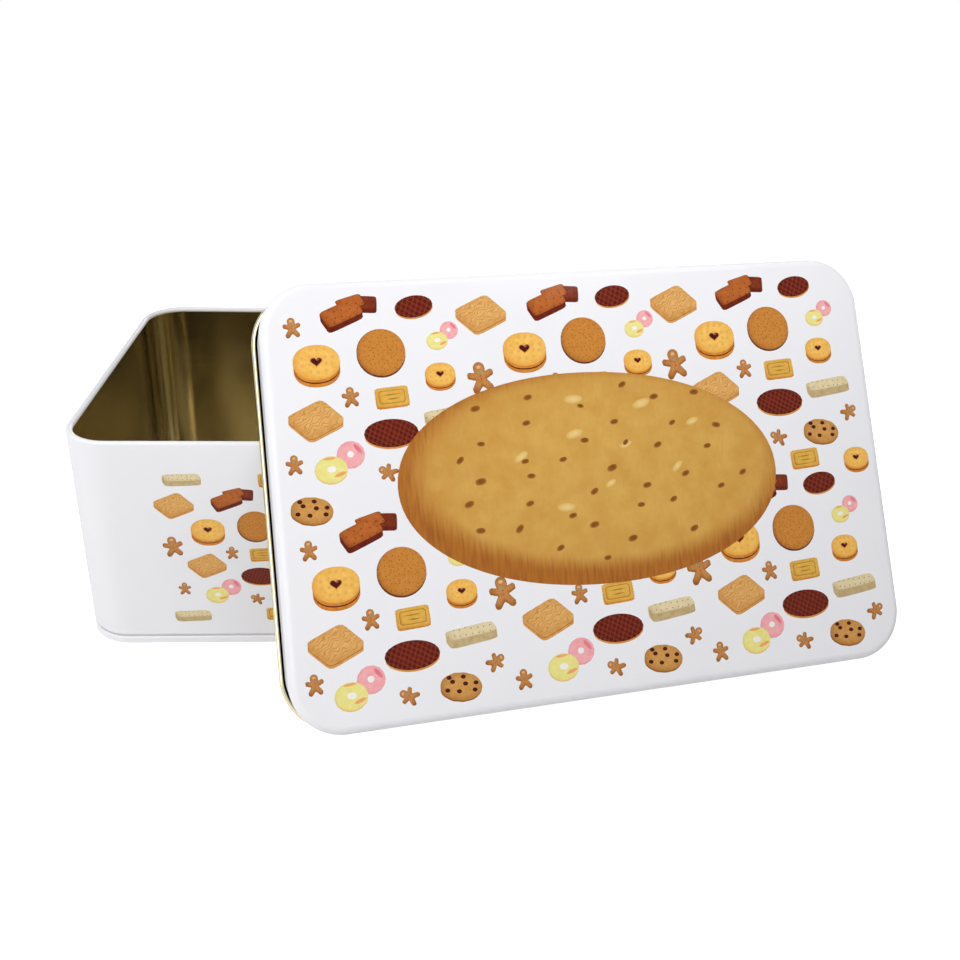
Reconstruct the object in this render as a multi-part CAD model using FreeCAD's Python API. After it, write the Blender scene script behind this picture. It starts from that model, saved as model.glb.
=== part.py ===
import FreeCAD, Part
import os
from math import cos, radians, sin

# Rectangular biscuit tin in tinplate, with its lid taken off and leaning on the front rim.
# Millimetres, +Z up. The origin is the middle of the tin's base, on the surface it stands on.
# +X runs along the tin's length to the right, and +Y runs to its back.

# ---- Driving dimensions ----

bodyLength = 200.0          # outside of the body wall, left to right
bodyWidth = 133.0           # outside of the body wall, front to back
bodyHeight = 77.0           # surface it stands on to the top of the rolled rim
cornerRadius = 15.5         # outside radius of the four upright corners
sheet = 0.28                # tinplate thickness
rimRollRadius = 1.05        # outside radius of the inward roll round the mouth
rimRollSweep = 288.0        # degrees of roll, from the wall round to the free edge

seamHeight = 2.6            # height of the double seam that holds the base on
seamGap = 0.04              # lacquer and compound between the layers of the seam
hookLength = 1.2            # straight overlap of the two seam hooks
foldInside = 0.06           # inside radius of the tight folds at the foot of the seam
neckRadius = 0.60           # middle radius of the two bends that step the wall in
neckAngle = 45.0            # slope of that step

baseRecess = 2.2            # underside of the base panel above the surface
basePanelStep = 0.9         # how far the middle of the base panel is raised
baseBendRadius = 1.2        # middle radius of the bends in the base panel
baseFlatRing = 3.0          # flat ring of the base panel between its wall and its step
baseInnerRun = 1.0          # flat run inside the step, before the plain middle
baseStepAngle = 40.0        # slope of the raised step

sideSeamWidth = 5.0         # width of the locked seam that closes the body at the back
sideSeamLayers = 2          # extra layers of sheet on the inside of that seam
sideSeamEnd = 2.0           # plain wall left above and below the locked seam

lidFit = 0.40               # clearance between the body wall and the lid's skirt, each side
lidDepth = 20.0             # outside of the lid's panel to the bottom of its hem
lidEdgeRadius = 3.0         # outside radius between the lid's panel and its skirt
hemRadius = 1.08            # outside radius of the outward roll at the skirt's edge
hemSweep = 275.0            # degrees of roll, from the skirt round to the free edge

lidLean = 31.0              # degrees that the leaning lid tips back from upright
lidShift = 77.5             # left side of the tin to the lower left corner of the lid
restGap = 0.30              # clearance left between the leaning lid and the rim

# ---- Sizes that follow from them ----

half = sheet / 2
foldRadius = half + foldInside              # middle radius of those folds
hookStep = sheet + seamGap                  # from one layer of the seam to the next
neckIn = 3 * hookStep                       # three layers lie outside the stepped-in wall
lidGrow = lidFit + sheet                    # lid's outside beyond the body's, each side
lidLength = bodyLength + 2 * lidGrow
lidWidth = bodyWidth + 2 * lidGrow
lidCornerRadius = cornerRadius + lidGrow

# ---- For the working, not for the shape ----

same = 0.01                 # edges and points within this are taken as the same
widestYaw = 30.0            # degrees; the lid is looked for between square and this
yawHalvings = 40            # each halves what is left of that range


# ---- Sheet sections ----

def sheetFace(start, heading, moves):
    """Section of bent sheet in the XZ plane, from a walk along its middle line.

    start is (outward, up), heading is in degrees, anticlockwise from outward. A move is
    a number, a straight of that length, or (radius, angle), a bend that turns left for
    a positive angle. Both faces of the sheet are the middle line moved by half a sheet.
    """
    x, z = start
    a = radians(heading)
    left, right = [], []

    def point(px, pz, angle, side):
        return FreeCAD.Vector(px - side * half * sin(angle), 0, pz + side * half * cos(angle))

    for move in moves:
        if isinstance(move, tuple):
            radius, turn = move[0], radians(move[1])
            way = 1 if turn > 0 else -1
            cx, cz = x - way * radius * sin(a), z + way * radius * cos(a)
            b, m = a + turn, a + turn / 2
            x1, z1 = cx + way * radius * sin(b), cz - way * radius * cos(b)
            xm, zm = cx + way * radius * sin(m), cz - way * radius * cos(m)
            for side, edges in ((1, left), (-1, right)):
                edges.append(Part.Arc(point(x, z, a, side), point(xm, zm, m, side),
                                      point(x1, z1, b, side)).toShape())
            a = b
        else:
            x1, z1 = x + move * cos(a), z + move * sin(a)
            for side, edges in ((1, left), (-1, right)):
                edges.append(Part.makeLine(point(x, z, a, side), point(x1, z1, a, side)))
        x, z = x1, z1
    first = Part.makeLine(right[0].Vertexes[0].Point, left[0].Vertexes[0].Point)
    last = Part.makeLine(left[-1].Vertexes[-1].Point, right[-1].Vertexes[-1].Point)
    return Part.Face(Part.Wire(Part.__sortEdges__([first] + left + [last] + right)))


def carried(face, length, width, radius):
    """The section carried once round a rounded rectangle centred on the Z axis.

    The section's x is the distance outside the rectangle: it runs straight along the
    four sides and turns about an upright axis at each of the four corners.
    """
    pieces = []
    for k in range(4):
        run, reach = (length, width) if k % 2 == 0 else (width, length)
        straight = run - 2 * radius
        # the side whose outward normal is -Y, then +X, +Y and -X
        side = face.copy()
        side.rotate(FreeCAD.Vector(), FreeCAD.Vector(0, 0, 1), -90)
        side.translate(FreeCAD.Vector(-straight / 2, -reach / 2, 0))
        wall = side.extrude(FreeCAD.Vector(straight, 0, 0))
        side.translate(FreeCAD.Vector(straight, 0, 0))
        turn = side.revolve(FreeCAD.Vector(straight / 2, radius - reach / 2, 0),
                            FreeCAD.Vector(0, 0, 1), 90)
        for piece in (wall, turn):
            piece.rotate(FreeCAD.Vector(), FreeCAD.Vector(0, 0, 1), 90 * k)
            pieces.append(piece)
    return pieces


def roundedPlate(length, width, radius, low, high):
    """A flat plate with rounded corners, from low to high, centred on the Z axis."""
    x, y = length / 2, width / 2
    k = radius * (1 - cos(radians(45)))
    corners = [(x, y, 1, 1), (-x, y, -1, 1), (-x, -y, -1, -1), (x, -y, 1, -1)]
    edges = []
    ends = []
    for cx, cy, sx, sy in corners:
        a = FreeCAD.Vector(cx, cy - sy * radius, low)
        b = FreeCAD.Vector(cx - sx * radius, cy, low)
        if sx * sy < 0:
            a, b = b, a
        middle = FreeCAD.Vector(cx - sx * k, cy - sy * k, low)
        edges.append(Part.Arc(a, middle, b).toShape())
        ends.append((a, b))
    for i in range(4):
        edges.append(Part.makeLine(ends[i][1], ends[(i + 1) % 4][0]))
    wire = Part.Wire(Part.__sortEdges__(edges))
    return Part.Face(wire).extrude(FreeCAD.Vector(0, 0, high - low))


def oneSolid(pieces):
    """The pieces fused into one clean solid."""
    shape = pieces[0].fuse(pieces[1:]).removeSplitter()
    solids = shape.Solids
    if len(solids) != 1:
        raise ValueError("expected one solid, got %d" % len(solids))
    return solids[0]


# ---- Body wall: one rolled sheet, rolled inwards at the mouth, necked and hooked below ----

def makeBodyWall():
    rollMiddle = rimRollRadius - half
    neckRise = sin(radians(neckAngle))
    neckSlope = (neckIn - 2 * neckRadius * (1 - cos(radians(neckAngle)))) / neckRise
    neckDrop = 2 * neckRadius * neckRise + neckSlope * cos(radians(neckAngle))
    hookFold = hookStep                     # the hook turns round one layer of the base
    foldBottom = sheet + seamGap + half + hookFold
    straightBelow = seamHeight + seamGap - foldBottom
    straightAbove = bodyHeight - rimRollRadius - neckDrop - seamHeight - seamGap
    # walked from the top of the wall down to the free edge of the body hook
    lower = [straightAbove, (neckRadius, -neckAngle), neckSlope, (neckRadius, neckAngle),
             straightBelow, (hookFold, 180), hookLength]
    wall = sheetFace((-half, bodyHeight - rimRollRadius), -90, lower)
    # the rolled rim, walked from the same place up, over the top and in
    roll = sheetFace((-half, bodyHeight - rimRollRadius), 90, [(rollMiddle, rimRollSweep)])
    rings = carried(wall, bodyLength, bodyWidth, cornerRadius)
    rings += carried(roll, bodyLength, bodyWidth, cornerRadius)
    # the locked side seam: extra layers on the inside of the back wall
    deep = sheet * sideSeamLayers
    low = seamHeight + neckDrop + sideSeamEnd
    high = bodyHeight - 2 * rimRollRadius - sideSeamEnd
    inside = bodyWidth / 2 - sheet
    seam = Part.makeBox(sideSeamWidth, deep + half, high - low,
                        FreeCAD.Vector(-sideSeamWidth / 2, inside - deep, low))
    edges = [e for e in seam.Edges
             if abs(e.BoundBox.ZLength - (high - low)) < same and e.BoundBox.YMax < inside - half]
    seam = seam.makeFillet(sheet, edges)
    return oneSolid(rings + [seam])


# ---- Base panel: pressed sheet whose edge is folded round the body hook ----

def makeBasePanel():
    # walked from the free edge of the cover hook, over the seam, under it and in
    topFold = hookStep
    outerWall = seamHeight - half - topFold - foldRadius - half
    foot = neckIn + hookStep - 2 * foldRadius
    chuck = baseRecess - foldRadius - baseBendRadius
    bends = 2 * baseBendRadius * (1 - cos(radians(baseStepAngle)))
    slope = (basePanelStep - bends) / sin(radians(baseStepAngle))
    moves = [hookLength, (topFold, -180), outerWall, (foldRadius, -90), foot,
             (foldRadius, -90), chuck, (baseBendRadius, 90), baseFlatRing,
             (baseBendRadius, -baseStepAngle), slope,
             (baseBendRadius, baseStepAngle), baseInnerRun]
    start = (-half - 2 * topFold, seamHeight - half - topFold - hookLength)
    section = sheetFace(start, 90, moves)
    rings = carried(section, bodyLength, bodyWidth, cornerRadius)
    box = section.BoundBox
    inset = -box.XMin
    top = max(v.Point.z for v in section.Vertexes if v.Point.x < box.XMin + same)
    plate = roundedPlate(bodyLength - 2 * inset, bodyWidth - 2 * inset, cornerRadius - inset,
                         top - sheet, top)
    return oneSolid(rings + [plate])


# ---- Lid: one pressing with a short skirt and a hem rolled outwards ----

def makeLid():
    """The lid in its own frame, face up: top of the panel at z = 0, centred on Z."""
    edge = lidEdgeRadius - half
    skirt = lidDepth - lidEdgeRadius - hemRadius
    moves = [lidEdgeRadius, (edge, -90), skirt, (hemRadius - half, hemSweep)]
    section = sheetFace((-2 * lidEdgeRadius, -half), 0, moves)
    rings = carried(section, lidLength, lidWidth, lidCornerRadius)
    inset = 2 * lidEdgeRadius
    plate = roundedPlate(lidLength - 2 * inset, lidWidth - 2 * inset, lidCornerRadius - inset,
                         -sheet, 0)
    return oneSolid(rings + [plate])


# ---- Where the lid leans ----

def lidAxes(yaw):
    """The lid's own directions when it leans: along it, up its face, and out of its face."""
    lean = radians(lidLean)
    along = FreeCAD.Vector(cos(yaw), sin(yaw), 0)
    front = FreeCAD.Vector(sin(yaw), -cos(yaw), 0)
    out = front * cos(lean) + FreeCAD.Vector(0, 0, sin(lean))
    up = front * -sin(lean) + FreeCAD.Vector(0, 0, cos(lean))
    return along, up, out


def lidStand(yaw):
    """The lid's lower left corner on its outer face, for a yaw in radians.

    The hem of the lower skirt stands on the surface, and the inside of the panel stands
    restGap in front of the rolled rim at the tin's front right corner.
    """
    along, up, out = lidAxes(yaw)
    hemMiddle = up * (sheet - hemRadius) - out * (lidDepth - hemRadius)
    low = FreeCAD.Vector(-bodyLength / 2 + lidShift, 0, hemRadius - hemMiddle.z)
    middle = FreeCAD.Vector(bodyLength / 2 - cornerRadius, cornerRadius - bodyWidth / 2,
                            bodyHeight - rimRollRadius)
    reach = (cornerRadius - rimRollRadius) * cos(radians(lidLean)) + rimRollRadius
    depth = (middle - low).dot(out) + reach + sheet + restGap
    low.y += depth / out.y
    return low


def hemClearance(yaw):
    """Clearance between the rim along the tin's front and the hem of the lid's left skirt.

    Both are round bars, so it is the distance between two lines less the two radii.
    """
    along, up, out = lidAxes(yaw)
    hem = lidStand(yaw) + along * (sheet - hemRadius) - out * (lidDepth - hemRadius)
    rim = FreeCAD.Vector(0, rimRollRadius - bodyWidth / 2, bodyHeight - rimRollRadius)
    across = FreeCAD.Vector(1, 0, 0).cross(up)
    across.normalize()
    return (hem - rim).dot(across) - hemRadius - rimRollRadius


def settledYaw():
    """The yaw, in radians, at which the left hem also stands restGap off the rim.

    Turning the lid brings its left skirt nearer the tin, so the answer is halved in on.
    """
    low, high = 0.0, radians(widestYaw)
    for _ in range(yawHalvings):
        middle = (low + high) / 2
        if hemClearance(middle) < restGap:
            low = middle
        else:
            high = middle
    return high


def leaningLid(lid):
    """The lid moved from its own frame to where it leans."""
    yaw = settledYaw()
    along, up, out = lidAxes(yaw)
    centre = lidStand(yaw) + along * (lidLength / 2) + up * (lidWidth / 2)
    matrix = FreeCAD.Matrix(along.x, up.x, out.x, centre.x,
                            along.y, up.y, out.y, centre.y,
                            along.z, up.z, out.z, centre.z,
                            0, 0, 0, 1)
    placed = lid.copy()
    placed.Placement = FreeCAD.Placement(matrix)
    return placed


os.makedirs("parts", exist_ok=True)
parts = {
    "body_wall": makeBodyWall(),
    "base_panel": makeBasePanel(),
    "lid": leaningLid(makeLid()),
}
for name, shape in parts.items():
    if not shape.isValid():
        raise ValueError(name + " is not a valid solid")
    shape.exportStep("parts/%s.step" % name)
    box = shape.BoundBox
    print("%-11s %9.1f mm3  x %.2f..%.2f  y %.2f..%.2f  z %.2f..%.2f" % (
        name, shape.Volume, box.XMin, box.XMax, box.YMin, box.YMax, box.ZMin, box.ZMax))
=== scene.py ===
from math import cos, pi, radians, sin

import bpy
import numpy as np
from mathutils import Matrix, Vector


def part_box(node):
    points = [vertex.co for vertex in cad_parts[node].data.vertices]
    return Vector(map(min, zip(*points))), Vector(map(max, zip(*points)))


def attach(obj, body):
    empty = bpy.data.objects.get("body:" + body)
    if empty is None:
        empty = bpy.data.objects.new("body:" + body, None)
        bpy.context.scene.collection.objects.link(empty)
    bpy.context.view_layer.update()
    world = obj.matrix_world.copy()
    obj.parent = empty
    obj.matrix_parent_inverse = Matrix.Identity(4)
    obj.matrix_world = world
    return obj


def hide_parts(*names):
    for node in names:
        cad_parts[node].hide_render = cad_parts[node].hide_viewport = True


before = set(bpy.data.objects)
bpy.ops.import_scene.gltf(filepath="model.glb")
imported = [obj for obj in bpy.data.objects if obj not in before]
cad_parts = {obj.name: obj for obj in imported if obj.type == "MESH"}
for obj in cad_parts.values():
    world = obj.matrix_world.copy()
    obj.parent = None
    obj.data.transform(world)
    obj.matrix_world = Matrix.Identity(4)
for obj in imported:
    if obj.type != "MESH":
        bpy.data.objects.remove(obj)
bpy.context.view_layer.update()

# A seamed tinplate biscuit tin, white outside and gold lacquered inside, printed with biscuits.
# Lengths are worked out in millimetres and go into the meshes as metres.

mm = 0.001


def toLinear(hexColour, veil=0.0):
    # sRGB to linear: a straight line at the dark end, and a power of 2.4 above it. veil is the
    # white that a gloss over the colour adds, taken off so that the two together give the colour.
    srgb = [int(hexColour[i:i + 2], 16) / 255 for i in (1, 3, 5)]
    linear = [c / 12.92 if c <= 0.04045 else ((c + 0.055) / 1.055) ** 2.4 for c in srgb]
    return [max(c - veil, 0.0) / (1 - veil) for c in linear] + [1.0]


def addNode(tree, kind, inputs=None, **settings):
    # one node with its settings; an input is a value, or the socket that feeds it
    node = tree.nodes.new(kind)
    for key, value in settings.items():
        setattr(node, key, value)
    for key, value in (inputs or {}).items():
        if isinstance(value, bpy.types.NodeSocket):
            tree.links.new(value, node.inputs[key])
        else:
            node.inputs[key].default_value = value
    return node


def newMaterial(name):
    material = bpy.data.materials.new(name)
    material.use_nodes = True
    material.node_tree.nodes.clear()
    surface = addNode(material.node_tree, "ShaderNodeBsdfPrincipled")
    addNode(material.node_tree, "ShaderNodeOutputMaterial", {"Surface": surface.outputs["BSDF"]})
    return material, material.node_tree, surface


def makeMesh(name, points, faces, materials, faceMaterials, normals=None, uv=None, marks=None):
    # points in millimetres, one material number a face, one normal a face corner, and one uv pair
    # and one of each mark a point
    mesh = bpy.data.meshes.new(name)
    mesh.from_pydata((np.asarray(points) * mm).tolist(), [], faces)
    for material in materials:
        mesh.materials.append(material)
    mesh.polygons.foreach_set("material_index", np.asarray(faceMaterials, np.int32))
    if uv is not None:
        corner = np.empty(len(mesh.loops), np.int32)
        mesh.loops.foreach_get("vertex_index", corner)
        layer = mesh.uv_layers.new(name="motif")
        layer.data.foreach_set("uv", np.asarray(uv, np.float32)[corner].ravel())
    for key, values in (marks or {}).items():
        mark = mesh.attributes.new(key, "FLOAT", "POINT")
        mark.data.foreach_set("value", np.asarray(values, np.float32))
    if normals is not None:
        mesh.polygons.foreach_set("use_smooth", np.ones(len(mesh.polygons), bool))
        mesh.normals_split_custom_set(np.asarray(normals).tolist())
    mesh.update()
    piece = bpy.data.objects.new(name, mesh)
    bpy.context.collection.objects.link(piece)
    return piece


# Where the camera stands, so that the lid fills the right of the view and the tin the left.
view = {"place": (7.65, -340.97, 213.85), "down": 25.24, "right": 2.96, "roll": -1.46,
        "lens": 36.51, "shift": (0.036, -0.0597)}


def placeCamera():
    down, right, roll = (radians(view[key]) for key in ("down", "right", "roll"))
    level = np.array([sin(right), cos(right), 0])
    across = np.array([cos(right), -sin(right), 0])
    upright = np.array([0, 0, 1])
    forward = level * cos(down) - upright * sin(down)
    below = -(upright * cos(down) + level * sin(down))
    axes = np.array([across * cos(roll) + below * sin(roll),
                     across * sin(roll) - below * cos(roll), -forward]).T
    camera = bpy.data.objects.new("camera", bpy.data.cameras.new("camera"))
    bpy.context.collection.objects.link(camera)
    turn = Matrix(axes.tolist()).to_4x4()
    camera.matrix_world = Matrix.Translation([x * mm for x in view["place"]]) @ turn
    camera.data.lens = view["lens"]
    camera.data.shift_x, camera.data.shift_y = view["shift"]
    camera.data.clip_start = 0.01
    bpy.context.scene.camera = camera


placeCamera()

# Where the tin and its lid are, from the CAD nodes.
low, high = [np.array(corner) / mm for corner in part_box("body_wall")]
tinLength, tinWidth = high[0] - low[0], high[1] - low[1]
tinHeight = high[2]


def findLid():
    # The lid's face is the biggest flat face of its node that looks up. Along is level, up is
    # square to along and out, and its reach each way comes from the node's own points.
    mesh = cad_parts["lid"].data
    area = np.empty(len(mesh.polygons))
    normal = np.empty(len(mesh.polygons) * 3)
    points = np.empty(len(mesh.vertices) * 3)
    mesh.polygons.foreach_get("area", area)
    mesh.polygons.foreach_get("normal", normal)
    mesh.vertices.foreach_get("co", points)
    normal = normal.reshape(-1, 3)
    area[normal[:, 2] < 0] = 0
    out = normal[area.argmax()]
    along = np.cross([0, 0, 1], out)
    along /= np.linalg.norm(along)
    axes = np.array([along, np.cross(out, along), out])
    reach = points.reshape(-1, 3) / mm @ axes.T
    middle = (reach.min(0) + reach.max(0)) / 2
    middle[2] = reach.max(0)[2]
    return axes, middle @ axes, reach.max(0) - reach.min(0)


lidAxes, lidMiddle, lidReach = findLid()
print("stage: camera and frame, tin %.1f x %.1f x %.1f mm" % (tinLength, tinWidth, tinHeight))


# Roller-coated white enamel and every ink on it lie under one clear gloss varnish. To the eye it
# is a soft mirror with slow waves from the rolled sheet and a faint orange peel. veil is how much
# white a whole coat of it adds to the colour below.
varnish = {"roughness": 0.4, "gloss": 0.07, "coat": 0.3, "veil": 0.04, "waveSize": 34.0,
           "waveDepth": 0.02, "peelSize": 1.1, "peelDepth": 0.0006}


def addVarnish(tree, surface):
    place = addNode(tree, "ShaderNodeTexCoord").outputs["Object"]
    height = None
    for size, depth in (("waveSize", "waveDepth"), ("peelSize", "peelDepth")):
        noise = addNode(tree, "ShaderNodeTexNoise",
                        {"Vector": place, "Scale": 1 / (varnish[size] * mm), "Detail": 0.0})
        inputs = {"Height": noise.outputs["Fac"], "Distance": varnish[depth] * mm}
        if height is not None:
            inputs["Normal"] = height
        height = addNode(tree, "ShaderNodeBump", inputs).outputs["Normal"]
    tree.links.new(height, surface.inputs["Normal"])
    tree.links.new(height, surface.inputs["Coat Normal"])
    surface.inputs["Roughness"].default_value = varnish["roughness"]
    surface.inputs["Specular IOR Level"].default_value = 0.0     # varnish and ink bend light alike
    surface.inputs["Coat Weight"].default_value = varnish["coat"]
    surface.inputs["Coat Roughness"].default_value = varnish["gloss"]


def whiteEnamel():
    # White enamel on tinplate: a clean cool white with slow clouds of a slightly greyer coat.
    look = {"colour": "#EFEEF1", "shade": "#E9E9EC", "cloud": 45.0}
    material, tree, surface = newMaterial("whiteEnamelOnTinplate")
    place = addNode(tree, "ShaderNodeTexCoord").outputs["Object"]
    cloud = addNode(tree, "ShaderNodeTexNoise",
                    {"Vector": place, "Scale": 1 / (look["cloud"] * mm), "Detail": 2.0})
    tint = addNode(tree, "ShaderNodeMix",
                   {"Factor": cloud.outputs["Fac"], "A": toLinear(look["colour"]),
                    "B": toLinear(look["shade"])}, data_type="RGBA")
    tree.links.new(tint.outputs["Result"], surface.inputs["Base Color"])
    addVarnish(tree, surface)
    return material


# Gold epoxy lacquer over bright tinplate. Its tin tones are painted darker than its lid tones,
# a painted shade for the inside of the tin. It is a pale champagne metal where light leaves it
# after one bounce, and olive brown down in the tin, where it bounces often. A fine grain runs
# along the sheet.
lacquers = {"tin": {"colour": "#C1B697", "shade": "#B2A786"},
            "lid": {"colour": "#CBC2A5", "shade": "#B9AF8F"},
            "grain": (30.0, 1.6, 1.6), "patch": 28.0, "roughness": (0.13, 0.18),
            "grainDepth": 0.0001}


def goldLacquer(name, tones):
    look = {**lacquers, **tones}
    material, tree, surface = newMaterial(name)
    place = addNode(tree, "ShaderNodeTexCoord").outputs["Object"]
    stretched = addNode(tree, "ShaderNodeMapping",
                        {"Vector": place, "Scale": [1 / (size * mm) for size in look["grain"]]})
    grain = addNode(tree, "ShaderNodeTexNoise",
                    {"Vector": stretched.outputs["Vector"], "Scale": 1.0, "Detail": 2.0})
    patch = addNode(tree, "ShaderNodeTexNoise",
                    {"Vector": place, "Scale": 1 / (look["patch"] * mm), "Detail": 2.0})
    tint = addNode(tree, "ShaderNodeMix",
                   {"Factor": patch.outputs["Fac"], "A": toLinear(look["colour"]),
                    "B": toLinear(look["shade"])}, data_type="RGBA")
    rough = addNode(tree, "ShaderNodeMapRange",
                    {"Value": grain.outputs["Fac"], "To Min": look["roughness"][0],
                     "To Max": look["roughness"][1]})
    bump = addNode(tree, "ShaderNodeBump",
                   {"Height": grain.outputs["Fac"], "Distance": look["grainDepth"] * mm})
    tree.links.new(tint.outputs["Result"], surface.inputs["Base Color"])
    tree.links.new(rough.outputs["Result"], surface.inputs["Roughness"])
    tree.links.new(bump.outputs["Normal"], surface.inputs["Normal"])
    surface.inputs["Metallic"].default_value = 1.0
    return material


# Bare tinplate where it is sheared: a dull grey with fine drag marks. Inside the lid's hem the
# enamel face of the curl is painted nearly black instead, a painted shade for the throat of
# the curl, where little light gets in.
bareTinplateAndHemShade = {"sheared": {"colour": "#A9A8A4", "shade": "#7F7D78"},
                "hemShade": {"colour": "#262822", "shade": "#1B1D18"}, "drag": 0.3, "roughness": 0.45}


# dull metal: the grey of a sheared edge, and the near-black painted shade inside the lid's hem
def dullSteelAndHemShade(name, tones):
    look = {**bareTinplateAndHemShade, **tones}
    material, tree, surface = newMaterial(name)
    place = addNode(tree, "ShaderNodeTexCoord").outputs["Object"]
    drag = addNode(tree, "ShaderNodeTexNoise",
                   {"Vector": place, "Scale": 1 / (look["drag"] * mm), "Detail": 1.0})
    tint = addNode(tree, "ShaderNodeMix",
                   {"Factor": drag.outputs["Fac"], "A": toLinear(look["colour"]),
                    "B": toLinear(look["shade"])}, data_type="RGBA")
    tree.links.new(tint.outputs["Result"], surface.inputs["Base Color"])
    surface.inputs["Metallic"].default_value = 1.0
    surface.inputs["Roughness"].default_value = look["roughness"]
    return material


enamel = whiteEnamel()
cutEdge = dullSteelAndHemShade("shearedTinplateEdge", bareTinplateAndHemShade["sheared"])
# a near-black painted shade for the inside of the lid's hem
hemShade = dullSteelAndHemShade("paintedShadeInLidHem", bareTinplateAndHemShade["hemShade"])
# the tin's copy, painted darker: a painted shade for the inside of the tin
gold = goldLacquer("goldLacquerWithPaintedShade", lacquers["tin"])
paleGold = goldLacquer("paleGoldLacquerOnTinplate", lacquers["lid"])
print("stage: tinplate finishes")


# How finely bends are drawn: degrees to a step in a section, and points round an upright corner.
bendStep, cornerPoints = 11, 25


def walkSheet(start, heading, moves):
    # The middle line of a bent sheet, outward and up, with its heading at each point. A number is
    # a straight of that length, and (radius, angle) a bend, to the left where the angle is plus:
    # centre = place + radius x left, then place = centre - radius x left of each new heading.
    x, z = start
    heading = radians(heading)
    walk = [np.array([[x, z, heading]])]
    for move in moves:
        if isinstance(move, tuple):
            radius, turn = move[0] * np.sign(move[1]), radians(move[1])
            steps = max(4, int(abs(move[1]) / bendStep))
            a = heading + turn * np.arange(1, steps + 1) / steps
            run = np.stack([x - radius * sin(heading) + radius * np.sin(a),
                            z + radius * cos(heading) - radius * np.cos(a), a], 1)
            heading += turn
        else:
            run = np.array([[x + move * cos(heading), z + move * sin(heading), heading]])
        x, z = run[-1, :2]
        walk.append(run)
    return np.concatenate(walk)


def carrySheet(name, walk, rectangle, sheet, looks, panel=None, axes=None, middle=(0, 0, 0),
               hemShadeSteps=0):
    # A bent sheet carried once round a rounded rectangle: a point x outside it lies at a corner's
    # centre + (corner radius + x) x direction, and the direction turns 90 degrees at each corner.
    # Both faces are the walk moved half a sheet left and right. looks are the left face's, right
    # face's and cut edges' materials, and a fourth is a painted shade for the left face of the
    # last steps, as many as the last argument gives.
    # panel closes the sheet's "start" or "end" with a flat.
    length, width, radius = rectangle
    turn = np.radians(np.linspace(0, 90, cornerPoints))
    a = np.concatenate([turn + k * pi / 2 for k in range(4)])
    side = np.repeat([[1, 1], [-1, 1], [-1, -1], [1, -1]], len(turn), 0)
    centre = side * [length / 2 - radius, width / 2 - radius]
    direction = np.stack([np.cos(a), np.sin(a)], 1)

    left = np.stack([-np.sin(walk[:, 2]), np.cos(walk[:, 2])], 1)
    ends = np.stack([np.cos(walk[[0, -1], 2]), np.sin(walk[[0, -1], 2])], 1)
    upper, lower = walk[:, :2] + left * sheet / 2, walk[:, :2] - left * sheet / 2
    section = np.concatenate([upper, lower[::-1]])
    m, n = len(walk), len(a)
    first = np.concatenate([left[:-1], ends[1:], -left[:0:-1], -ends[:1]])
    last = np.concatenate([left[1:], ends[1:], -left[-2::-1], -ends[:1]])
    # the last steps' left face takes the painted shade, look 3
    look = np.array([0] * (m - 1 - hemShadeSteps) + [3] * hemShadeSteps + [2] + [1] * (m - 1) + [2])
    keep = np.ones(2 * m, bool)
    if panel:
        keep[2 * m - 1 if panel == "start" else m - 1] = False
    rows = np.flatnonzero(keep)

    flat = centre + (radius + section[:, None, :1]) * direction
    points = np.concatenate([flat, np.repeat(section[:, None, 1:], n, 1)], 2).reshape(-1, 3)
    i, j = [grid.ravel() for grid in np.meshgrid(rows, np.arange(n), indexing="ij")]
    ahead, up = (j + 1) % n, (i + 1) % (2 * m)
    faces = np.stack([i * n + j, up * n + j, up * n + ahead, i * n + ahead], 1)
    corners = [(first, j), (last, j), (last, ahead), (first, ahead)]
    normals = np.stack([np.concatenate([table[i, :1] * direction[k], table[i, 1:]], 1)
                        for table, k in corners], 1).reshape(-1, 3)
    faces, faceLooks = faces.tolist(), look[i].tolist()
    if panel:
        rim = np.arange(n)
        top, bottom, topLook = (0, 2 * m - 1, 0) if panel == "start" else (m, m - 1, 1)
        faces += [(top * n + rim).tolist(), (bottom * n + rim[::-1]).tolist()]
        faceLooks += [topLook, 1 - topLook]
        normals = np.concatenate([normals, np.tile([0, 0, 1], (n, 1)), np.tile([0, 0, -1], (n, 1))])
    if axes is not None:
        points, normals = points @ axes, normals @ axes
    return makeMesh(name, points + middle, faces, looks, faceLooks, normals)


# The tin's wall is rolled in at the mouth, necked in above the seam and hooked into it. Its sheet
# stands an ink's depth inside the CAD wall, so the print on it comes out flush.
inkDepth = 0.05
wall = {"sheet": 0.28, "cornerRadius": 15.5, "rimRoll": 1.05, "rimSweep": 288, "seamHeight": 2.6,
        "seamGap": 0.04, "hook": 1.2, "neckRadius": 0.60, "neckAngle": 45}
fold = wall["sheet"] + wall["seamGap"]


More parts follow.
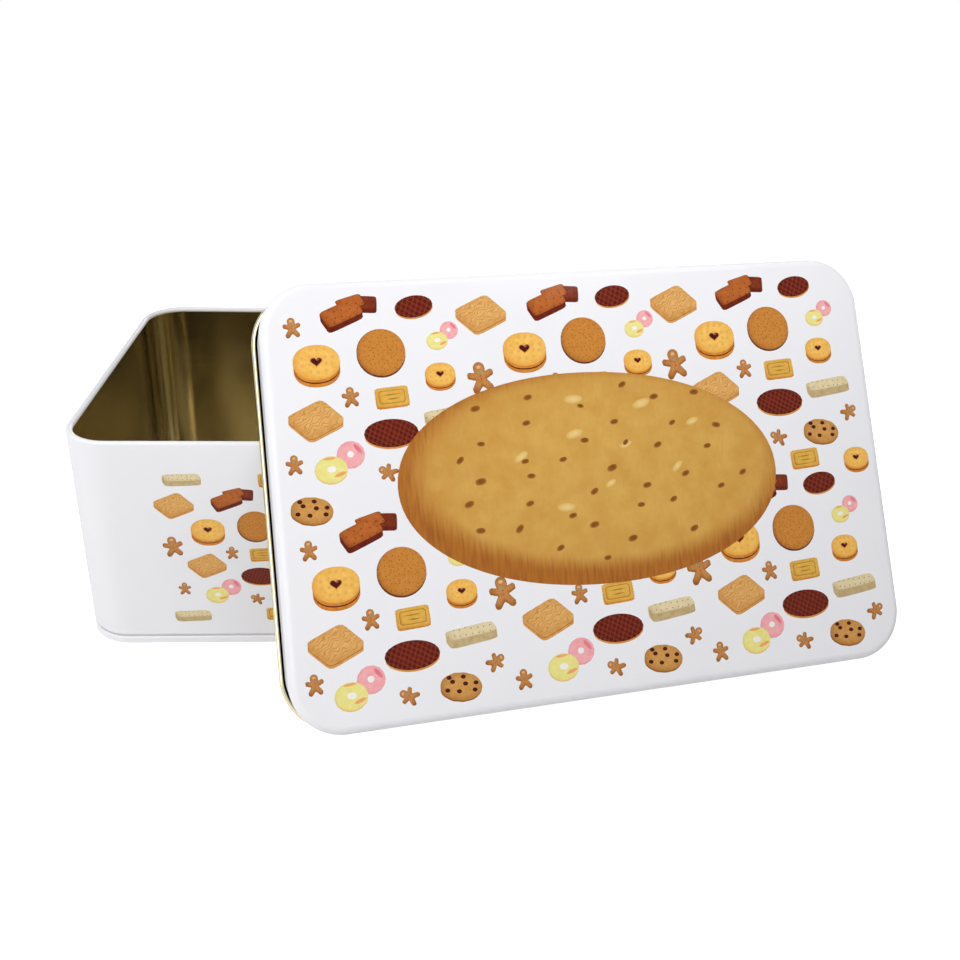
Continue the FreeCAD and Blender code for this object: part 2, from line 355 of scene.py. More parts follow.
def makeWall():
    sheet, rise = wall["sheet"], radians(wall["neckAngle"])
    bend = wall["neckRadius"] * (1 - cos(rise))
    slope = (3 * fold - 2 * bend) / sin(rise)
    drop = 2 * wall["neckRadius"] * sin(rise) + slope * cos(rise)
    above = tinHeight - wall["rimRoll"] - drop - wall["seamHeight"] - wall["seamGap"]
    below = wall["seamHeight"] - 1.5 * sheet - fold
    top = (-sheet / 2, tinHeight - wall["rimRoll"])
    down = walkSheet(top, -90, [above, (wall["neckRadius"], -wall["neckAngle"]), slope,
                                (wall["neckRadius"], wall["neckAngle"]), below, (fold, 180),
                                wall["hook"]])
    roll = walkSheet(top, 90, [(wall["rimRoll"] - sheet / 2, wall["rimSweep"])])[:0:-1]
    roll[:, 2] += pi
    rectangle = (tinLength - 2 * inkDepth, tinWidth - 2 * inkDepth, wall["cornerRadius"] - inkDepth)
    piece = carrySheet("tinWall", np.concatenate([roll, down]), rectangle, sheet,
                       [enamel, gold, cutEdge])
    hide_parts("body_wall")
    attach(piece, "tin")


# The locked seam that closes the wall, on the inside of its back: two more layers of sheet.
sideSeam = {"width": 5.0, "thick": 0.56, "ends": 2.0, "sharpness": 5.0, "points": 32}


def makeSideSeam():
    # section = |x / half width| ^ s + |y / thickness| ^ s = 1, a box with well rounded edges, and
    # the normals are the slope of that sum
    half, thick = sideSeam["width"] / 2, sideSeam["thick"]
    s, n = sideSeam["sharpness"], sideSeam["points"]
    bottom = wall["seamHeight"] + 2 * fold + sideSeam["ends"]
    top = tinHeight - 2 * wall["rimRoll"] - sideSeam["ends"]
    a = np.arange(n) * 2 * pi / n
    reach = (np.abs(np.cos(a) / half) ** s + np.abs(np.sin(a) / thick) ** s) ** (-1 / s)
    x, y = reach * np.cos(a), reach * np.sin(a)
    back = tinWidth / 2 - wall["sheet"] / 2 - thick
    points = np.concatenate([np.stack([x, y + back, np.full(n, z)], 1) for z in (bottom, top)])
    k = np.arange(n)
    ahead = (k + 1) % n
    faces = np.stack([k, ahead, ahead + n, k + n], 1).tolist()
    faces += [k[::-1].tolist(), (k + n).tolist()]
    slope = np.stack([np.sign(x) * np.abs(x / half) ** (s - 1) / half,
                      np.sign(y) * np.abs(y / thick) ** (s - 1) / thick, np.zeros(n)], 1)
    slope /= np.linalg.norm(slope, axis=1)[:, None]
    normals = np.stack([slope, slope[ahead], slope[ahead], slope], 1).reshape(-1, 3)
    normals = np.concatenate([normals, np.tile([0, 0, -1], (n, 1)), np.tile([0, 0, 1], (n, 1))])
    piece = makeMesh("sideSeam", points, faces, [gold], [0] * len(faces), normals)
    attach(piece, "tin")


# The base is pressed up in the middle, and its edge is folded round the wall's hook.
base = {"recess": 2.2, "step": 0.9, "bend": 1.2, "flatRing": 3.0, "innerRun": 1.0,
        "stepAngle": 40, "foldInside": 0.06}


def makeBase():
    half, bend, angle = wall["sheet"] / 2, base["bend"], base["stepAngle"]
    tight = half + base["foldInside"]
    outer = wall["seamHeight"] - 2 * half - fold - tight
    slope = (base["step"] - 2 * bend * (1 - cos(radians(angle)))) / sin(radians(angle))
    walk = walkSheet((-half - 2 * fold, wall["seamHeight"] - half - fold - wall["hook"]), 90,
                     [wall["hook"], (fold, -180), outer, (tight, -90), 4 * fold - 2 * tight,
                      (tight, -90), base["recess"] - tight - bend, (bend, 90), base["flatRing"],
                      (bend, -angle), slope, (bend, angle), base["innerRun"]])
    piece = carrySheet("basePanel", walk, (tinLength, tinWidth, wall["cornerRadius"]),
                       wall["sheet"], [enamel, gold, cutEdge], panel="end")
    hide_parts("base_panel")
    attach(piece, "tin")


# The lid is one pressing. Its skirt ends in a hem rolled outwards, so the gold inside shows there.
lid = {"sheet": 0.28, "cornerRadius": 16.18, "edge": 3.0, "hem": 1.08, "hemSweep": 275}
lidSize = lidReach[:2] - 2 * (2 * lid["hem"] - lid["sheet"])


def makeLid():
    half, edge, hem = lid["sheet"] / 2, lid["edge"], lid["hem"]
    moves = [edge, (edge - half, -90), lidReach[2] - edge - hem - inkDepth]
    start = (-2 * edge, -half - inkDepth)
    skirt = walkSheet(start, 0, moves)
    walk = walkSheet(start, 0, [*moves, (hem - half, lid["hemSweep"])])
    # the hem's steps past the skirt take the painted shade on their enamel face
    piece = carrySheet("lidPressing", walk, (*lidSize, lid["cornerRadius"]), lid["sheet"],
                       [enamel, paleGold, cutEdge, hemShade], "start", lidAxes, lidMiddle,
                       len(walk) - len(skirt))
    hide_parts("lid")
    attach(piece, "lid")


makeWall()
makeSideSeam()
makeBase()
makeLid()
print("stage: sheet metal")

# Litho inks, each with a lighter and a darker tone in mottles some millimetres across. The edge is
# the tone that the oven leaves there. holes are (spacing, radius, tone, how scattered), in
# millimetres, and lines are (spacing, tone, their angles, waviness, strength). side is the middle
# and reach of a motif's top face, how softly it turns down, two tones and the width of its flutes.
# grain is (width of its streaks, strength).
inkLooks = {
    "gingerbread": {"light": "#CB9055", "dark": "#B4743C", "edge": "#8F5426", "mottle": 1.2},
    "gingerbreadEdge": {"light": "#A5682F", "dark": "#8A5022"},
    "gingerbreadCheek": {"light": "#E2BE90", "dark": "#D3A36E", "mottle": 0.8},
    "greenIcing": {"light": "#6DAE98", "dark": "#549480"},
    "redIcing": {"light": "#C84A3C", "dark": "#AE3430"},
    "cocoaBiscuit": {"light": "#C06E35", "dark": "#A8592B", "edge": "#873F20", "edgePower": 5.0,
                     "holes": (2.2, 0.2, "#6A2E18", 0.45)},
    "cocoaEdge": {"light": "#73301D", "dark": "#5B2115"},
    "darkCocoa": {"light": "#8A3F26", "dark": "#6F2D1B", "edge": "#54200F"},
    "chocolate": {"light": "#6E2717", "dark": "#5C1E12", "edge": "#42140C", "edgePower": 5.0,
                  "lines": (1.5, "#8A4028", (0.35, 2.1), 0.8, 0.45)},
    "crust": {"light": "#DE9C56", "dark": "#C98240"},
    "shortcake": {"light": "#E4B370", "dark": "#D8A05A", "edge": "#C88C4A", "edgePower": 6.0,
                  "lines": (1.0, "#B97F3C", (0.95,), 9.0, 0.7)},
    "shortcakeEdge": {"light": "#DDA964", "dark": "#C38645"},
    "creamLine": {"light": "#B27438", "dark": "#9E622C"},
    "goldenBiscuit": {"light": "#F6C96C", "dark": "#E9AF4E", "edge": "#DC9238", "edgePower": 5.0,
                      "holes": (2.5, 0.6, "#E3AC5C", 0.3), "mottle": 2.0},
    "goldenEdge": {"light": "#DB9140", "dark": "#BE702C"},
    "jam": {"light": "#5C1C19", "dark": "#421112"},
    "jamShine": {"light": "#A8605C", "dark": "#8F4744"},
    "wheat": {"light": "#CE8C42", "dark": "#BE7934", "edge": "#93532A", "edgePower": 9.0,
              "holes": (1.5, 0.16, "#84491F", 0.75), "mottle": 1.0},
    "wheatEdge": {"light": "#70382A", "dark": "#58271C"},
    "butter": {"light": "#E4B557", "dark": "#D5A146", "edge": "#C28634", "edgePower": 8.0},
    "butterGroove": {"light": "#B98A36", "dark": "#A2742A"},
    "shortbread": {"light": "#E5D7B1", "dark": "#D8C598", "edge": "#C3AB7B", "edgePower": 6.0,
                   "holes": (1.9, 0.2, "#9A8058", 0.25)},
    "shortbreadEdge": {"light": "#CBB488", "dark": "#B39B6D"},
    "oatCookie": {"light": "#D8A35E", "dark": "#C28845", "edge": "#9C642F", "mottle": 0.9},
    "cookieEdge": {"light": "#9B602B", "dark": "#834B20"},
    "chocolateChip": {"light": "#5B2A1C", "dark": "#3F1A12"},
    "lemonIcing": {"light": "#EEE596", "dark": "#E5DA82", "edge": "#D8C56A", "edgePower": 9.0},
    "pinkIcing": {"light": "#F4B6B7", "dark": "#EB9EA3", "edge": "#DC7D8A", "edgePower": 8.0},
    "orangeStreak": {"light": "#EFAE70", "dark": "#E79A5A"},
    "roseStreak": {"light": "#DC6F84", "dark": "#E6878F"},
    "whiteIcing": {"light": "#F4F2EF", "dark": "#ECE7E2"},
    "teaBiscuit": {"light": "#D6AA5A", "dark": "#C99748", "edge": "#B57634", "edgePower": 5.0,
                   "mottle": 7.0, "grain": (0.45, 0.35),
                   "side": ((2.7, 3.4), (60.3, 30.6), 0.1, "#AE6D2E", "#99592A", 0.9)},
    "teaDocker": {"light": "#8E5526", "dark": "#7C471F", "edge": "#C4924A", "edgePower": 3.5},
    "teaBlister": {"light": "#E9CF8C", "dark": "#E2C47C", "edge": "#D0A354", "edgePower": 1.6},
}

# What an ink has where its own look says nothing else. Each ramp is where in a noise's range its
# tone sets in, and where it is all there. The one for holes is in radii.
plainInk = {"mottle": 1.6, "edgePower": 4.0, "mottleRamp": (0.3, 0.7), "grainRamp": (0.45, 0.7),
            "fluteRamp": (0.4, 0.75), "lineRamp": (0.6, 0.95), "holeRamp": (1.3, 0.7)}


def ramp(tree, socket, start, end, strength=1.0):
    # none of a tone where the socket gives start, and its whole strength where it gives end
    inputs = {"Value": socket, "From Min": start, "From Max": end, "To Max": strength}
    return addNode(tree, "ShaderNodeMapRange", inputs).outputs["Result"]


def printedInk(name, look):
    look = {**plainInk, **look}
    material, tree, surface = newMaterial(name + "InkUnderVarnish")
    place = addNode(tree, "ShaderNodeUVMap", uv_map="motif").outputs["UV"]
    batch = addNode(tree, "ShaderNodeAttribute", attribute_name="batch").outputs["Fac"]
    rim = addNode(tree, "ShaderNodeAttribute", attribute_name="rim").outputs["Fac"]

    mottle = addNode(tree, "ShaderNodeTexNoise",
                     {"Vector": place, "W": batch, "Scale": 1 / look["mottle"],
                      "Detail": 4.0, "Roughness": 0.6}, noise_dimensions="4D")
    washes = [(ramp(tree, mottle.outputs["Fac"], *look["mottleRamp"]), look["dark"])]
    if "grain" in look:
        # short upright streaks, ten times as tall as they are wide
        size, strength = look["grain"]
        stretched = addNode(tree, "ShaderNodeMapping",
                            {"Vector": place, "Scale": (1 / size, 0.1 / size, 1)})
        streak = addNode(tree, "ShaderNodeTexNoise",
                         {"Vector": stretched.outputs["Vector"], "Scale": 1.0, "Detail": 3.0})
        washes.append((ramp(tree, streak.outputs["Fac"], *look["grainRamp"], strength),
                       look["dark"]))
    if "edge" in look:
        # the bake deepens with a power of the way from the motif's middle to its edge
        bake = addNode(tree, "ShaderNodeMath", {0: rim, 1: look["edgePower"]},
                       operation="POWER")
        washes.append((bake.outputs[0], look["edge"]))
    if "side" in look:
        # distance = |(x, y) from the top face's middle, over its reach|: 1 is where it turns down
        middle, reach, soft, tone, fluteTone, flute = look["side"]
        centred = addNode(tree, "ShaderNodeMapping",
                          {"Vector": place, "Scale": (1 / reach[0], 1 / reach[1], 0),
                           "Location": (-middle[0] / reach[0], -middle[1] / reach[1], 0)})
        distance = addNode(tree, "ShaderNodeVectorMath", {0: centred.outputs["Vector"]},
                           operation="LENGTH").outputs["Value"]
        turned = addNode(tree, "ShaderNodeMapRange",
                         {"Value": distance, "From Min": 1 - soft, "From Max": 1 + soft},
                         interpolation_type="SMOOTHSTEP").outputs["Result"]
        washes.append((turned, tone))
        upright = addNode(tree, "ShaderNodeMapping",
                          {"Vector": place, "Scale": (1 / flute, 0.1 / flute, 1)})
        flutes = addNode(tree, "ShaderNodeTexNoise",
                         {"Vector": upright.outputs["Vector"], "Scale": 1.0, "Detail": 1.0})
        groove = ramp(tree, flutes.outputs["Fac"], *look["fluteRamp"])
        both = addNode(tree, "ShaderNodeMath", {0: groove, 1: turned}, operation="MULTIPLY")
        washes.append((both.outputs[0], fluteTone))
    if "holes" in look:
        # docker holes: a spot round the middle of each cell of a loose lattice
        spacing, radius, tone, scatter = look["holes"]
        cells = addNode(tree, "ShaderNodeTexVoronoi",
                        {"Vector": place, "Scale": 1 / spacing, "Randomness": scatter},
                        voronoi_dimensions="2D")
        outer, inner = [radius * share / spacing for share in look["holeRamp"]]
        washes.append((ramp(tree, cells.outputs["Distance"], outer, inner), tone))
    if "lines" in look:
        # pressed lines: sets of wavy bands, one at each angle, a wave being pi / 10 at scale 1
        spacing, tone, angles, bend, strength = look["lines"]
        for angle in angles:
            turned = addNode(tree, "ShaderNodeMapping",
                             {"Vector": place, "Rotation": (0, 0, angle)})
            band = addNode(tree, "ShaderNodeTexWave",
                           {"Vector": turned.outputs["Vector"], "Scale": pi / (10 * spacing),
                            "Distortion": bend, "Detail": 0.0, "Detail Scale": 1.5})
            washes.append((ramp(tree, band.outputs["Fac"], *look["lineRamp"], strength), tone))
    # the light tone is laid first and each wash over it by its own amount; the varnish on top
    # adds its reflection of white to them all
    veil = varnish["veil"] * varnish["coat"]
    colour = toLinear(look["light"], veil)
    for amount, tone in washes:
        colour = addNode(tree, "ShaderNodeMix",
                         {"Factor": amount, "A": colour, "B": toLinear(tone, veil)},
                         data_type="RGBA").outputs["Result"]
    tree.links.new(colour, surface.inputs["Base Color"])
    addVarnish(tree, surface)
    return material


inks = {name: printedInk(name, look) for name, look in inkLooks.items()}
print("stage: %d inks" % len(inks))


def oval(a, b, power=2.0, flutes=0, depth=0.0, points=36):
    # |x / a| ^ power + |y / b| ^ power = 1, its radius waved by flutes of the given depth
    t = np.arange(points) * 2 * pi / points
    r = (np.abs(np.cos(t) / a) ** power + np.abs(np.sin(t) / b) ** power) ** (-1 / power)
    r = r * (1 + depth * np.cos(flutes * t))
    return np.stack([r * np.cos(t), r * np.sin(t)], 1)


def slanted(u, v, power=6.0, points=44):
    # a square with rounded corners, carried to the slanted sides u and v
    return oval(1, 1, power, points=points) @ np.array([u, v])


def heart(size):
    # x = sin cubed, y = a sum of cosines, the usual heart curve
    t = np.arange(28) * 2 * pi / 28
    y = (13 * np.cos(t) - 5 * np.cos(2 * t) - 2 * np.cos(3 * t) - np.cos(4 * t)) / 16
    return np.stack([-np.sin(t) ** 3, y], 1) * size


def blob(circles, points=72):
    # the farthest point of any circle along each ray from the middle: with c the centre's way
    # along the ray, the ray leaves at c + root(radius squared - distance squared + c squared)
    t = np.arange(points) * 2 * pi / points
    ray = np.stack([np.cos(t), np.sin(t)], 1)
    x, y, radius = np.array(circles).T
    c = ray @ np.stack([x, y])
    inside = radius ** 2 - x ** 2 - y ** 2 + c ** 2
    r = np.where((inside > 0) & (c + radius > 0), c + np.sqrt(np.maximum(inside, 0)), 0).max(1)
    return ray * r[:, None]


def dropped(outline, drop):
    # the shape that an outline sweeps as it moves down: points whose normal looks down move
    ahead = np.roll(outline, -1, 0) - np.roll(outline, 1, 0)
    return outline - np.where(ahead[:, :1] > 0, [[0, drop]], 0)


def at(outline, x, y, turn=0):
    # the outline turned about its middle, then moved
    c, s = cos(radians(turn)), sin(radians(turn))
    return outline @ np.array([[c, s], [-s, c]]) + [x, y]


# Each biscuit is a stack of inks, the lowest first, each with its outline in millimetres.
limbs = [(0, 2.9, 1.95), (0, 0.9, 1.6), (0, -0.9, 1.9)]
limbs += [(sx * x, y, r) for sx in (-1, 1) for x, y, r in (
    (1.6, 0.5, 1.1), (2.5, 0.7, 1.0), (3.4, 1.0, 1.0), (1.1, -2.2, 1.25), (1.8, -3.0, 1.15),
    (2.4, -3.7, 1.15))]
man = blob(limbs)
finger, behind = slanted((5.5, 2.2), (-1.4, 2.4), 9), slanted((3.7, -0.3), (0.2, 2.1), 9)
square = at(slanted((5.45, 2.35), (-3.4, 3.3), 9), 0.3, 1.8)
bar = slanted((7.6, 0.75), (-0.9, 1.55), 6)
chips = [(-2.5, 1.7), (0.9, 2.8), (1.4, 0.7), (4.6, 0.6), (-4.2, -0.6), (-0.7, -1.3), (4.1, -1.4),
         (-3.4, 3.0)]
lemon, pink = oval(4.9, 4.1, flutes=14, depth=0.015), oval(4.2, 4.1, flutes=14, depth=0.015)
biscuits = {
    "gingerbread": [("gingerbreadEdge", dropped(man, 0.45)), ("gingerbread", man * 0.97),
                    ("gingerbreadCheek", at(oval(0.8, 0.55, points=14), 0, 3.2)),
                    ("greenIcing", at(oval(0.75, 0.3, points=10), 0, 1.35, 8)),
                    ("redIcing", at(oval(0.27, 0.27, points=8), 0.1, 0.3)),
                    ("redIcing", at(oval(0.27, 0.27, points=8), 0.1, -0.8))],
    "cocoaFingers": [("cocoaEdge", at(dropped(behind, 1.0), 5.4, 2.3)),
                     ("darkCocoa", at(behind, 5.4, 2.3)),
                     ("cocoaEdge", at(slanted((3.9, 1.0), (-1.0, 1.8), 9), 1.2, 2.5)),
                     ("cocoaBiscuit", at(slanted((3.7, 0.9), (-0.9, 1.65), 9), 1.1, 2.6)),
                     ("cocoaEdge", at(dropped(finger, 1.7), -1.9, -0.4)),
                     ("cocoaBiscuit", at(finger, -1.9, -0.4))],
    "chocolateOval": [("crust", dropped(oval(9.0, 4.6), 0.6)), ("chocolate", oval(9.0, 4.6))],
    "smallOval": [("crust", at(dropped(oval(6.0, 3.4), 0.5), 0, 0, 7)),
                  ("chocolate", at(oval(6.0, 3.4), 0, 0, 7))],
    "creamSquare": [("shortcakeEdge", dropped(square, 1.9)), ("creamLine", dropped(square, 1.15)),
                    ("shortcakeEdge", dropped(square, 0.9)), ("shortcake", square)],
    "icedRings": [("pinkIcing", at(pink, 4.0, 2.5)),
                  ("roseStreak", at(oval(2.0, 0.6, points=16), 6.2, 4.2, -52)),
                  ("whiteIcing", at(oval(1.0, 0.95, points=16), 3.9, 2.7)),
                  ("orangeStreak", at(dropped(lemon, 0.2), -2.2, -1.5)),
                  ("lemonIcing", at(lemon, -2.2, -1.5)),
                  ("orangeStreak", at(oval(2.1, 0.55, points=16), 0.4, -3.0, 18)),
                  ("orangeStreak", at(oval(2.2, 0.4, points=16), -2.4, 1.9, 4)),
                  ("whiteIcing", at(oval(1.4, 0.95, points=16), -2.0, -1.3))],
    "jamSandwich": [("goldenEdge", at(dropped(oval(7.7, 5.8, 2.2), 2.5), 0, 1)),
                    ("jam", at(dropped(oval(7.72, 5.8, 2.2), 1.3), 0, 1)),
                    ("goldenEdge", at(dropped(oval(7.7, 5.8, 2.2), 0.9), 0, 1)),
                    ("goldenBiscuit", at(oval(7.7, 5.8, 2.2, 15, 0.012), 0, 1)),
                    ("goldenEdge", at(heart(2.15) * [1, 0.85], 0, 1.3)),
                    ("jam", at(heart(1.8) * [1, 0.85], 0, 1.3)),
                    ("jamShine", at(oval(0.55, 0.3, points=10), 0.5, 1.9, 20))],
    "wheatRound": [("wheatEdge", at(dropped(oval(7.9, 7.6), 0.55), -0.1, 0)),
                   ("wheat", oval(7.8, 7.6))],
    "butterFinger": [("goldenEdge", dropped(oval(5.7, 3.3, 9, 40, 0.02, 80), 0.6)),
                     ("butter", oval(5.7, 3.3, 9, 40, 0.02, 80)),
                     ("butterGroove", oval(4.5, 2.3, 12)), ("butter", oval(4.2, 2.05, 12)),
                     ("butterGroove", at(oval(3.2, 0.25, 4, points=16), 0, 0.75)),
                     ("butterGroove", at(oval(2.4, 0.25, 4, points=16), 0.3, -0.7))],
    "shortbread": [("shortbreadEdge", at(dropped(bar, 2.4), 0, 1.1)),
                   ("shortbread", at(bar, 0, 1.1))],
    "chipCookie": [("cookieEdge", at(dropped(oval(6.4, 4.1, 2.1, 9, 0.012), 0.35), 0, 0, -8)),
                   ("oatCookie", at(oval(6.4, 4.1, 2.1, 9, 0.012), 0, 0, -8))]
                  + [("chocolateChip", at(oval(0.8, 0.62, points=12), x, y, -8)) for x, y in chips],
}

# The print repeats on a tile: biscuit, place on the tile, scale and turn in degrees.
tile = {"width": 65.0, "height": 66.0, "columns": range(-2, 5), "rows": range(-1, 3), "motifs": [
    ("gingerbread", 25.5, 32.5, 0.60, 4), ("gingerbread", 34.5, 9.0, 0.58, 62),
    ("gingerbread", 62.0, 15.5, 0.58, -58), ("gingerbread", 70.1, 9.3, 0.60, 4),
    ("gingerbread", 66.2, 35.8, 0.95, 8), ("cocoaFingers", 26.8, 58.5, 1.0, 0),
    ("smallOval", 47.3, 58.9, 1.0, 0), ("chocolateOval", 36.8, 20.6, 0.93, -1),
    ("creamSquare", 3.0, 54.2, 1.0, 0), ("creamSquare", 14.3, 25.0, 1.0, 0),
    ("icedRings", 55.0, 49.0, 0.68, 4), ("icedRings", 20.0, 12.6, 1.0, 0),
    ("jamSandwich", 16.2, 42.6, 0.91, 0), ("jamSandwich", 53.5, 36.8, 0.62, 0),
    ("wheatRound", 36.0, 45.3, 0.95, 0), ("butterFinger", 38.0, 31.6, 0.90, 3),
    ("butterFinger", 43.3, 1.4, 0.88, 3), ("shortbread", 55.2, 24.3, 0.98, 1),
    ("chipCookie", 50.5, 9.6, 1.0, 0)]}


# A slip's top is its level's share of the ink's depth, its foot is sunk that many ink depths into
# the enamel, and its rim falls away from the lower left by the bake.
slip = {"levels": 20, "foot": 1.4, "bake": 0.14, "bakeFrom": (0.6, 0.5)}


def stackInks(name, layers, origin, across, upward, body):
    # Each layer is (ink, outline, places): a closed flat slip of ink at each place (x, y, scale,
    # turn, batch, level). Its top is a fan from its middle, so rim grows evenly to the outline.
    out = np.cross(across, upward)
    names = sorted({layer[0] for layer in layers})
    points, faces, looks, uv, rim, batch, start = [], [], [], [], [], [], 0
    for ink, outline, places in layers:
        n, count = len(outline), len(places)
        local = np.concatenate([outline, [(outline.max(0) + outline.min(0)) / 2]])
        x, y, scale, turn, lot, level = np.array(places, float).T[:, :, None]
        c, s = scale * np.cos(np.radians(turn)), scale * np.sin(np.radians(turn))
        u, v = x + c * local[:, 0] - s * local[:, 1], y + s * local[:, 0] + c * local[:, 1]
        flat = u[..., None] * across + v[..., None] * upward
        top = flat + (inkDepth * level / slip["levels"])[..., None] * out
        both = np.concatenate([top, flat - inkDepth * slip["foot"] * out], 1)
        k = np.arange(n)
        nxt = (k + 1) % n
        tops = np.stack([k, nxt, np.full(n, n)], 1)
        sides = np.stack([k, k + n + 1, nxt + n + 1, nxt], 1)
        bottoms = tops[:, ::-1] + n + 1
        offset = start + np.arange(count) * 2 * (n + 1)
        for block in (tops, sides, bottoms):
            faces += (block[None] + offset[:, None, None]).reshape(-1, block.shape[1]).tolist()
        looks += [names.index(ink)] * (3 * n * count)
        points.append(both.reshape(-1, 3))
        uv.append(np.tile(local, (2 * count, 1)))
        way = (outline - local[-1]) / np.abs(outline - local[-1]).max(0)
        edge = 1 - slip["bake"] * (1 + way @ slip["bakeFrom"])   # the lower left is baked most
        rim.append(np.tile(np.append(edge, 0), 2 * count))
        batch.append(np.repeat(lot[:, 0], 2 * (n + 1)))
        start += 2 * (n + 1) * count
    piece = makeMesh(name, np.concatenate(points) + origin - out * inkDepth, faces,
                     [inks[key] for key in names], looks, uv=np.concatenate(uv),
                     marks={"rim": np.concatenate(rim), "batch": np.concatenate(batch)})
    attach(piece, body)


def printTile(name, face, origin, across, upward, body):
    # The tile repeated over a face, wherever a motif's middle is inside the print area and
    # outside the covered oval: place = start + scale x (place on the tile + whole tiles).
    (x0, y0), scale, (left, bottom, right, top) = face["start"], face["scale"], face["area"]
    i, j = [grid.ravel() for grid in np.meshgrid(tile["columns"], tile["rows"])]
    (cx, cy), (a, b) = face["covered"]
    places = {kind: [] for kind in biscuits}
    for number, (kind, x, y, size, turn) in enumerate(tile["motifs"]):
        px, py = x0 + scale * (x + i * tile["width"]), y0 + scale * (y + j * tile["height"])
        inside = (px > left) & (px < right) & (py > bottom) & (py < top)
        inside &= ((px - cx) / a) ** 2 + ((py - cy) / b) ** 2 > 1
        places[kind] += [(u, v, size * scale, turn, number * 3.1 + u + v * 7)
                         for u, v in zip(px[inside], py[inside])]
    for kind, x, y, size, turn in face["extra"]:
        places[kind].append((x, y, size, turn, x + y))
    layers = [(ink, outline, [(*place, level + 1) for place in places[kind]])
              for kind in biscuits if places[kind]
              for level, (ink, outline) in enumerate(biscuits[kind])]
    stackInks(name, layers, origin, across, upward, body)


lidCorner = lidMiddle - lidAxes[0] * lidSize[0] / 2 - lidAxes[1] * lidSize[1] / 2

# The big plain tea biscuit across the middle of the lid: its middle from the lid's lower left
# corner, half its length and height, its tilt, and its holes and pale blisters: how many, the
# share of the biscuit they reach over, and the middle of that. Each is shaken by so much from its
# place, from its size and from its own tilt.
teaBiscuit = {"middle": (99.7, 67.7), "half": (62.6, 33.2), "tilt": -2.5,
              "holes": (38, 0.86, (1, 2.5)), "blisters": (9, 0.6, (4, 9)),
              "shake": (1.8, 1.2), "sizeShake": 0.13, "spotTilt": (12, 13)}


def scatter(spots, seed):
    # a sunflower layout, radius = root of the share and one golden angle on each time, shaken
    count, reach, shift = spots
    (halfX, halfY), (x, y) = teaBiscuit["half"], np.add(teaBiscuit["middle"], shift)
    (shakeX, shakeY), (tilt, tiltShake) = teaBiscuit["shake"], teaBiscuit["spotTilt"]
    shake = np.random.default_rng(seed).normal(0, 1, (count, 4))
    k = np.arange(count)
    r = np.sqrt((k + 0.5) / count) * reach
    a = k * pi * (3 - 5 ** 0.5)
    return np.stack([x + halfX * r * np.cos(a) + shake[:, 0] * shakeX,
                     y + halfY * r * np.sin(a) + shake[:, 1] * shakeY,
                     1 + teaBiscuit["sizeShake"] * shake[:, 2], tilt + tiltShake * shake[:, 3], k], 1)


def makeTeaBiscuit():
    whole = oval(*teaBiscuit["half"], 2.08, points=160)
    blister, hole = oval(2.9, 1.25, points=20), oval(1.5, 0.85, 2.2, points=16)
    layers = [("teaBiscuit", whole, [(*teaBiscuit["middle"], 1, teaBiscuit["tilt"], 5, 12)]),
              ("teaBlister", blister, [(*p, 15) for p in scatter(teaBiscuit["blisters"], 9)]),
              ("teaDocker", hole, [(*p, 17) for p in scatter(teaBiscuit["holes"], 4)])]
    stackInks("teaBiscuitPrint", layers, lidCorner, lidAxes[0], lidAxes[1], "lid")


# Along its left edge and at its right the lid has biscuits of its own, where the tile's would run
# off it. Each face has the tile's corner, its scale, the print area as left, bottom, right and
# top, an oval with none of the tile's biscuits, and extra ones: biscuit, place, scale, turn.
lidFace = {"start": (0, 0), "scale": 1.0, "area": (6, 8, 193.5, 127),
           "covered": (teaBiscuit["middle"], (56, 28)),
           "extra": [("gingerbread", 9.8, 120.5, 0.60, 4), ("gingerbread", 7.2, 79.6, 0.58, 2),
                     ("gingerbread", 7.6, 15.9, 0.60, 4), ("gingerbread", 9.2, 54.3, 0.58, 2),
                     ("chipCookie", 11.1, 65.6, 0.98, 0), ("jamSandwich", 192.2, 65.3, 0.60, 0)]}
printTile("lidPrint", lidFace, lidCorner, lidAxes[0], lidAxes[1], "lid")
makeTeaBiscuit()

# The same tile, smaller, on the tin's four sides, clear of their rounded corners. An extra
# gingerbread on the front takes the place of the tile's own.
tinFace = {"scale": 0.783, "covered": ((36.6, 18.5), (2.0, 2.0)), "extra": []}
frontExtra = [("shortbread", 38.5, 63.9, 0.76, -3), ("shortbread", 37.8, 11.4, 0.76, -3),
              ("gingerbread", 35.9, 22.6, 0.47, 2)]
sides = {
    "frontPrint": ((low[0], low[1]), (1.0, 0, 0),
                   {"start": (32.6, 11.2), "area": (31, 8, 178, 68), "extra": frontExtra}),
    "backPrint": ((high[0], high[1]), (-1.0, 0, 0),
                  {"start": (24.0, 11.2), "area": (23, 8, 178, 68)}),
    "leftPrint": ((low[0], high[1]), (0, -1.0, 0),
                  {"start": (10.0, 11.2), "area": (23, 8, 111, 68)}),
    "rightPrint": ((high[0], low[1]), (0, 1.0, 0),
                   {"start": (16.0, 11.2), "area": (23, 8, 111, 68)}),
}
for name, (corner, across, face) in sides.items():
    printTile(name, {**tinFace, **face}, np.array([*corner, 0]), np.array(across),
              np.array([0.0, 0, 1]), "tin")
print("stage: prints")

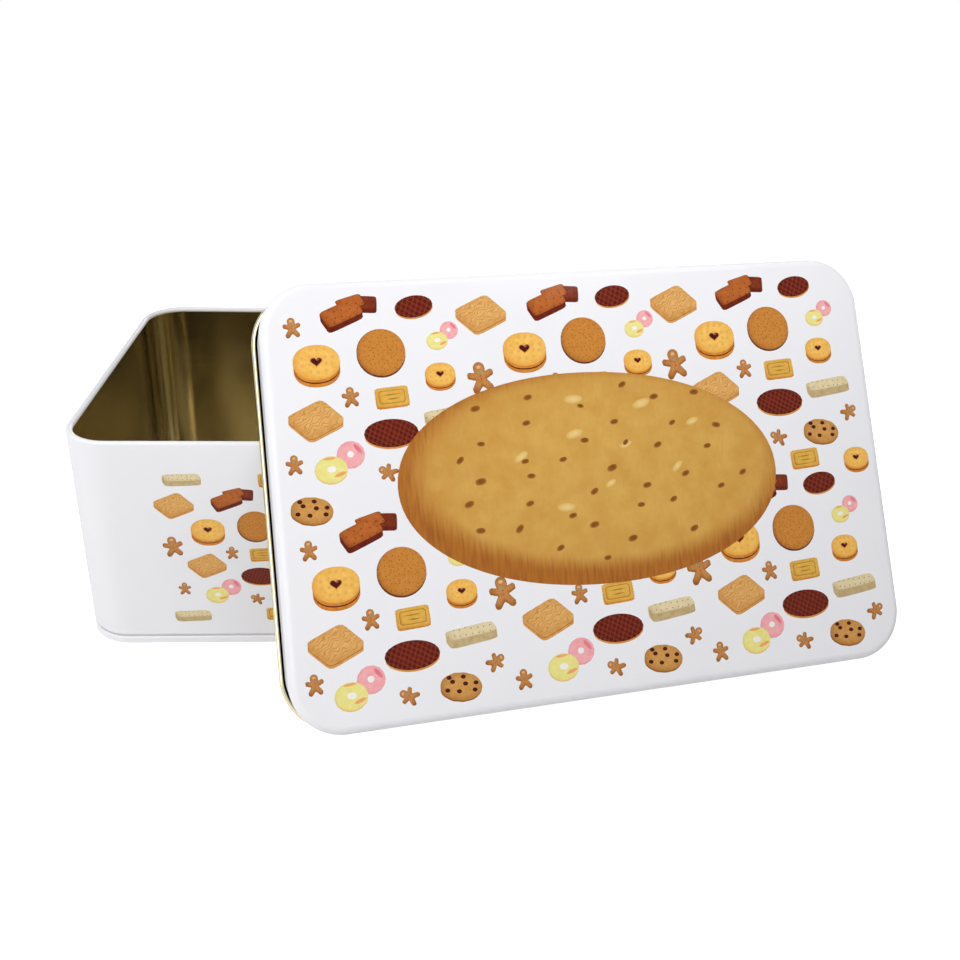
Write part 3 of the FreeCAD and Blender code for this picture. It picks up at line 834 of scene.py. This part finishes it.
# A plain pale floor and soft studio light. Camera, glossy and see-through rays meet white.
# Each lamp is a disc at a place in metres, so wide, with so many watts, turned to the object.
studio = {"ambient": "#828385", "floorColour": "#E0E0E0", "floorLift": 0.85,
          "floorReach": 3000.0, "target": (0.03, -0.03, 0.05),
          "lamps": {"key": ((-0.28, -0.38, 0.58), 0.35, 2.0),
                    "top": ((0.15, -0.12, 0.36), 0.25, 0.38),
                    "fill": ((-0.50, -0.64, 0.33), 0.5, 2.1), "back": ((0.0, 1.0, 0.20), 0.6, 4.4),
                    "side": ((0.90, 0.35, 0.16), 0.6, 3.0)}}


def seenDirectly(tree):
    path = addNode(tree, "ShaderNodeLightPath")
    either = addNode(tree, "ShaderNodeMath",
                     {0: path.outputs["Is Camera Ray"], 1: path.outputs["Is Glossy Ray"]},
                     operation="MAXIMUM")
    return addNode(tree, "ShaderNodeMath",
                   {0: either.outputs[0], 1: path.outputs["Is Transmission Ray"]},
                   operation="MAXIMUM").outputs[0]


def makeStudio():
    world = bpy.data.worlds.new("studio")
    bpy.context.scene.world = world
    world.use_nodes = True
    tree = world.node_tree
    tree.nodes.clear()
    colour = addNode(tree, "ShaderNodeMix", {"Factor": seenDirectly(tree),
                                             "A": toLinear(studio["ambient"]),
                                             "B": (1, 1, 1, 1)}, data_type="RGBA")
    light = addNode(tree, "ShaderNodeBackground", {"Color": colour.outputs["Result"]})
    addNode(tree, "ShaderNodeOutputWorld", {"Surface": light.outputs["Background"]})

    # matt paper sweep: its own colour and shadow, lifted to white where it is seen
    material, tree, surface = newMaterial("mattPaperFloor")
    surface.inputs["Base Color"].default_value = toLinear(studio["floorColour"])
    surface.inputs["Roughness"].default_value = 0.9
    surface.inputs["Specular IOR Level"].default_value = 0.0
    surface.inputs["Emission Color"].default_value = (1, 1, 1, 1)
    lift = addNode(tree, "ShaderNodeMath", {0: seenDirectly(tree), 1: studio["floorLift"]},
                   operation="MULTIPLY")
    tree.links.new(lift.outputs[0], surface.inputs["Emission Strength"])
    side = studio["floorReach"]
    floor = makeMesh("floor", [(-side, -side, 0), (side, -side, 0), (side, side, 0),
                               (-side, side, 0)], [(0, 1, 2, 3)], [material], [0])

    for name, (place, size, power) in studio["lamps"].items():
        lamp = bpy.data.lights.new(name, "AREA")
        lamp.shape, lamp.size, lamp.energy = "DISK", size, power
        piece = bpy.data.objects.new(name, lamp)
        bpy.context.collection.objects.link(piece)
        back = np.array(place) - studio["target"]
        back /= np.linalg.norm(back)
        level = np.cross([0, 0, 1], back)
        level /= np.linalg.norm(level)
        axes = np.array([level, np.cross(back, level), back]).T
        piece.matrix_world = Matrix.Translation(place) @ Matrix(axes.tolist()).to_4x4()


makeStudio()
bpy.context.scene.view_settings.view_transform = "Standard"
print("stage: studio")
